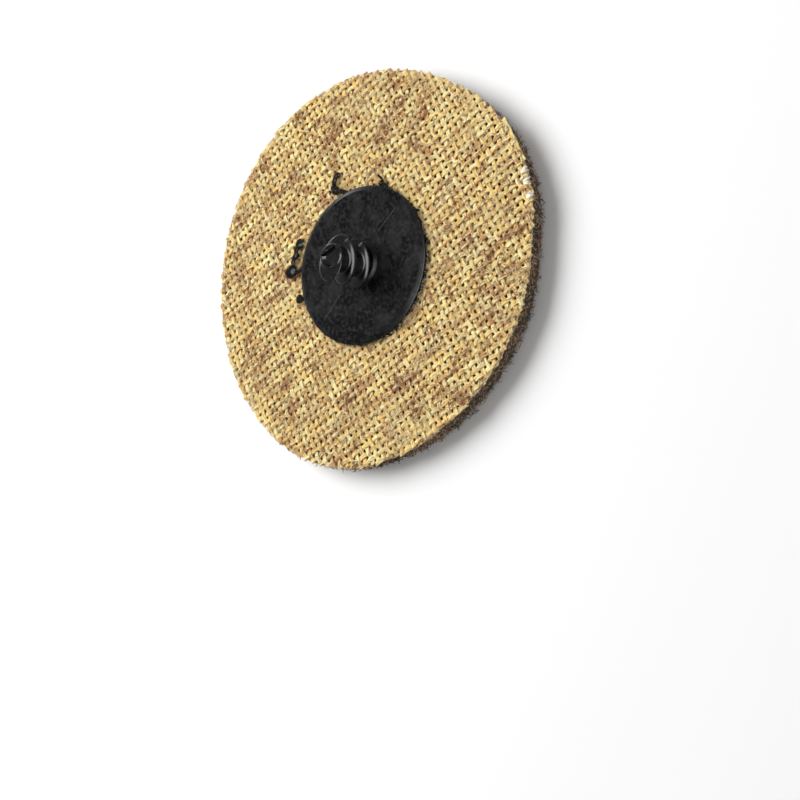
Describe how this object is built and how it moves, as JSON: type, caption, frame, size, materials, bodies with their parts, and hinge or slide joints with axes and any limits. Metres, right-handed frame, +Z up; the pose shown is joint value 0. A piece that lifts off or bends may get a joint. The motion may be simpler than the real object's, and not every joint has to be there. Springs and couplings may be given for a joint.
{
  "type": "surface conditioning disc",
  "caption": "Round non-woven abrasive disc on a woven cloth backing, with a bonded flanged button whose coarse threaded stub screws it onto a rotary tool's backing pad.",
  "frame": {"origin": "middle of the flat abrasive face that the disc lies on", "axes": "+Z up the drive button's axis, +X and +Y along the backing cloth's two sets of yarns"},
  "size_m": [0.076, 0.076, 0.0147],
  "materials": {
    "abrasive_web": "open web of dark brown-grey nylon fibres with abrasive grit",
    "scrim_cloth": "plain-woven cream yarns with brown fibres needled through",
    "bond_plastic": "glossy black plastic, squeezed out and set in curls",
    "button_plastic": "moulded black nylon, satin with fine scratches"
  },
  "bodies": {
    "root": {"abrasive_web": "abrasive_web", "scrim_backing": "scrim_cloth", "bond_layer": "bond_plastic", "drive_button": "button_plastic"}
  },
  "joints": []
}
